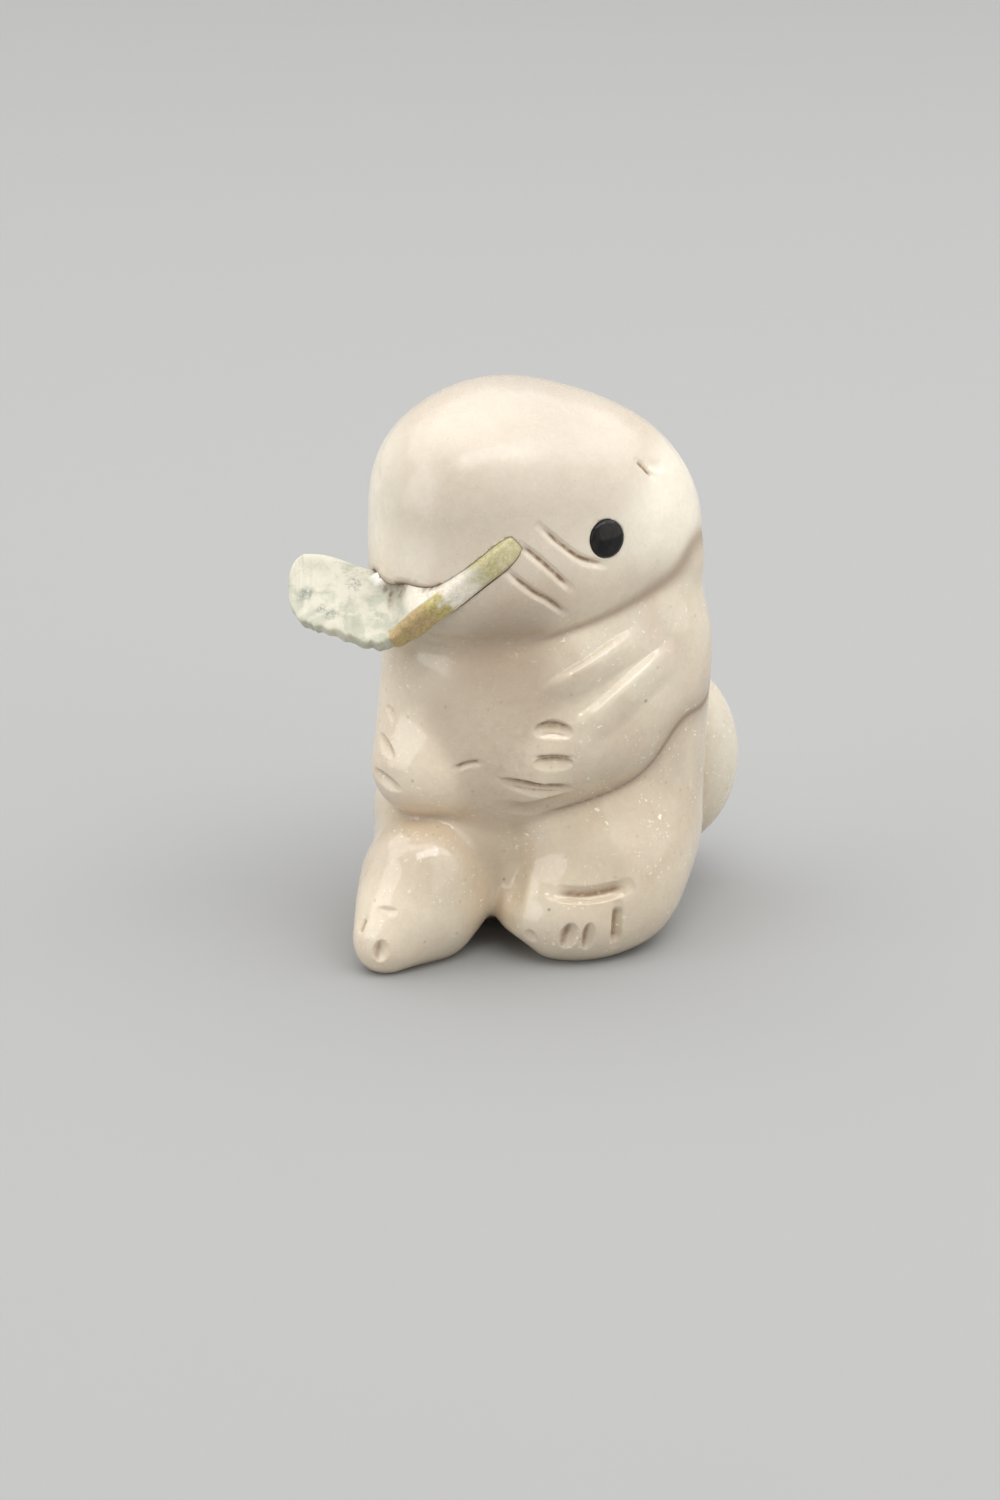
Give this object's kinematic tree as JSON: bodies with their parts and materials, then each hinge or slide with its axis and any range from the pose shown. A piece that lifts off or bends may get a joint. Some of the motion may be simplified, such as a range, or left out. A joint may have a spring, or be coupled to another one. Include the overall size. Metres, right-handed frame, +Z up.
{
  "type": "otter fetish carving",
  "caption": "Small polished stone carving of an otter sitting upright, its head turned to one side, with a flat stone fish set in its mouth, round inlaid eyes and the tail against its back.",
  "frame": {"origin": "middle of the whole part's bounding box on x and y, at the underside that it stands on", "axes": "+Z up through the head, -Y the way the belly and feet face, +X towards the otter's left arm and its tail"},
  "size_m": [0.0392, 0.0308, 0.0489],
  "materials": {
    "cream_stone": "polished, with fine white and grey flecks",
    "green_stone": "smooth, softly polished, with grey veins and an olive patch",
    "black_inlay": "high polish"
  },
  "bodies": {
    "root": {"otter_body": "cream_stone", "fish": "green_stone", "eye_left": "black_inlay", "eye_right": "black_inlay"}
  },
  "joints": []
}
